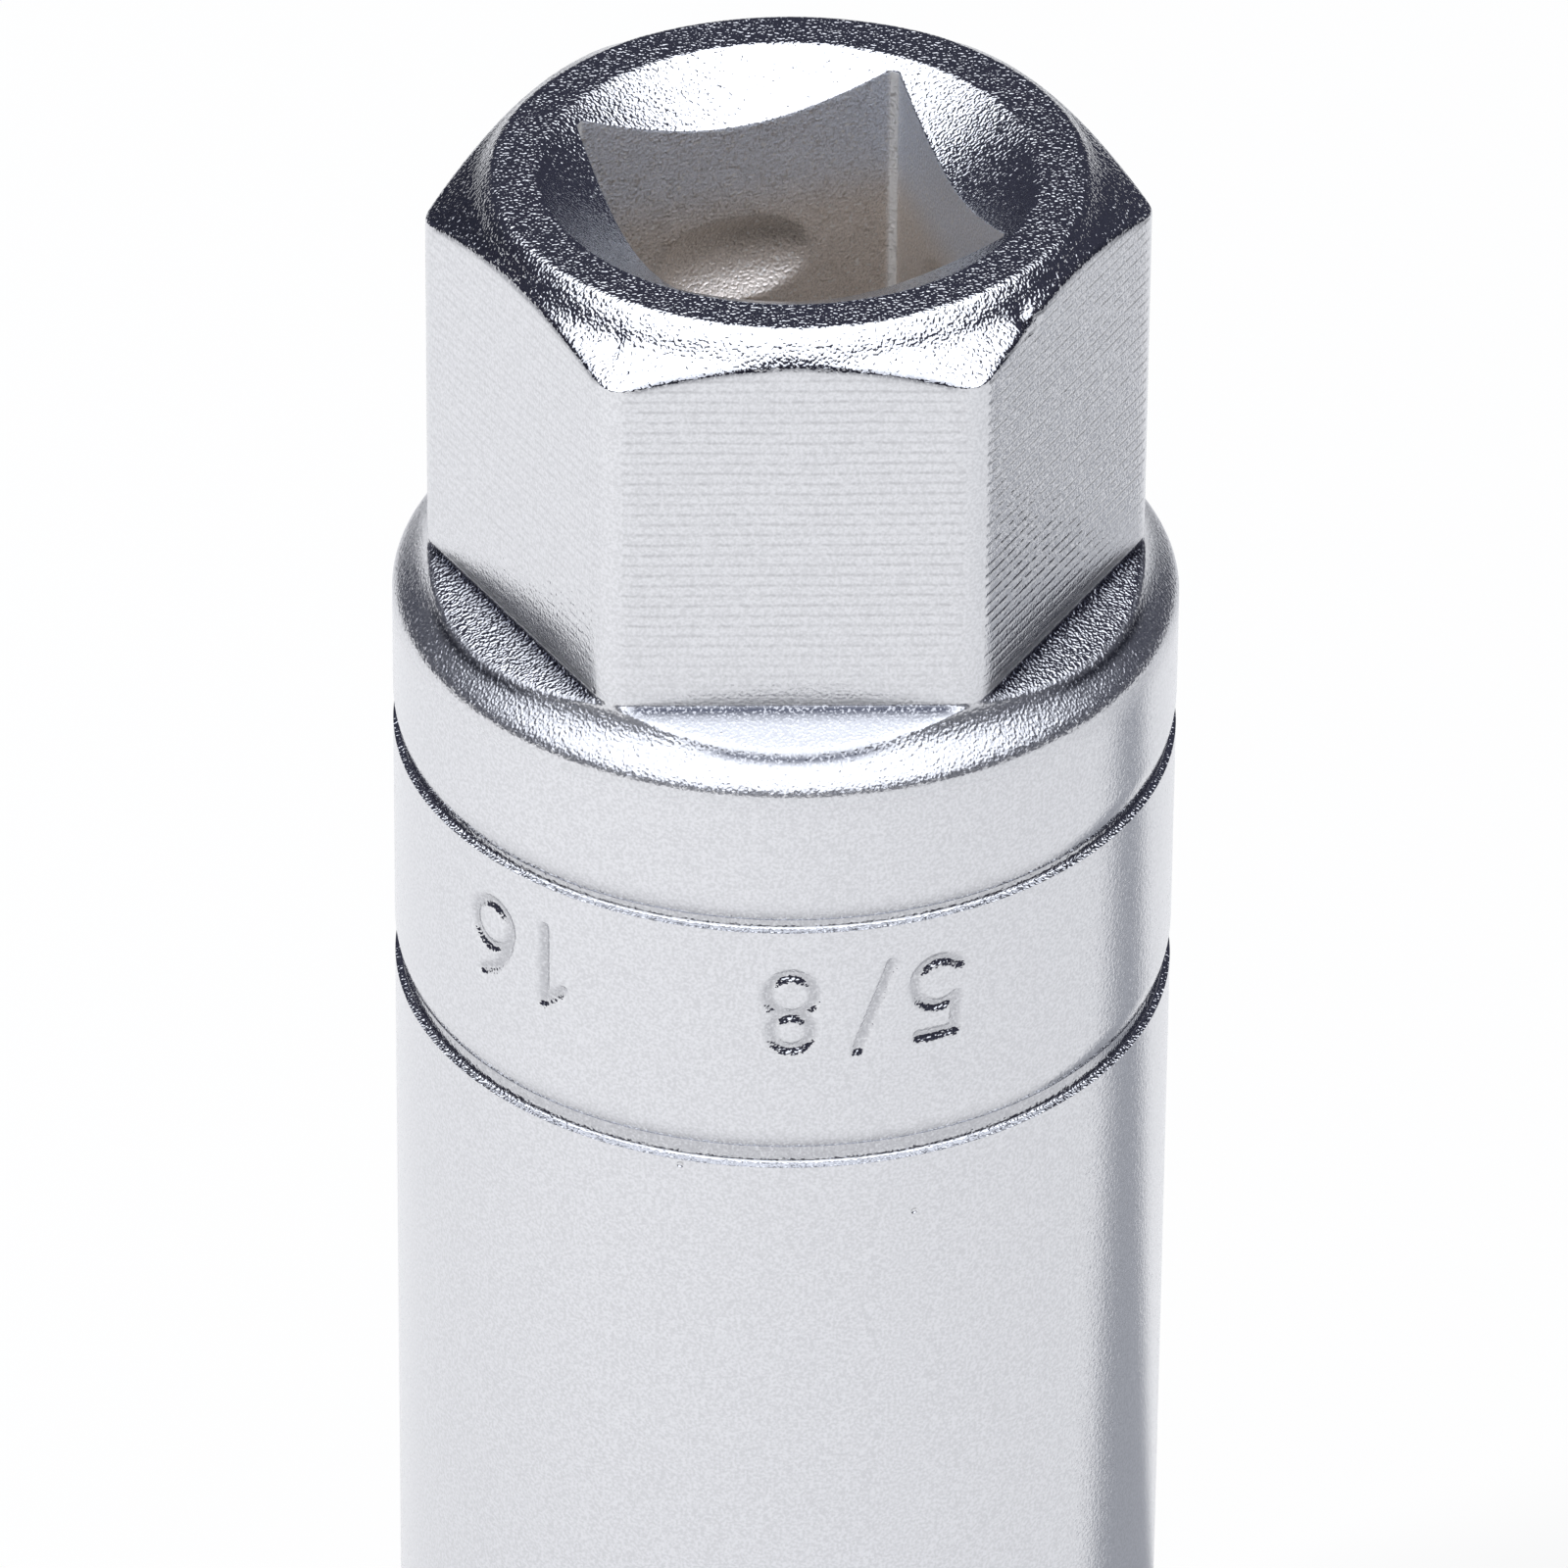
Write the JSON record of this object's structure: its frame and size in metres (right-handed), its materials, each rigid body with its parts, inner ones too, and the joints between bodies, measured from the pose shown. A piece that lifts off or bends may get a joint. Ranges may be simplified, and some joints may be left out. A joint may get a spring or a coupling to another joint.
{
  "type": "spark plug socket",
  "caption": "Long round spark plug socket with a square drive end, spanner flats, turned marking rings and a rubber insulator sleeve inside.",
  "frame": {"origin": "centre of the open end's face, on the socket's axis, where it stands", "axes": "+Z along the socket's axis towards the drive end; +X square to one wall of the drive square"},
  "size_m": [0.0226, 0.0226, 0.065],
  "materials": {
    "satin_chrome": "satin chrome plate over a fine blasted grain",
    "sleeve_rubber": "matt black moulded rubber"
  },
  "bodies": {
    "root": {"socket_body": "satin_chrome", "insulator_sleeve": "sleeve_rubber"}
  },
  "joints": []
}
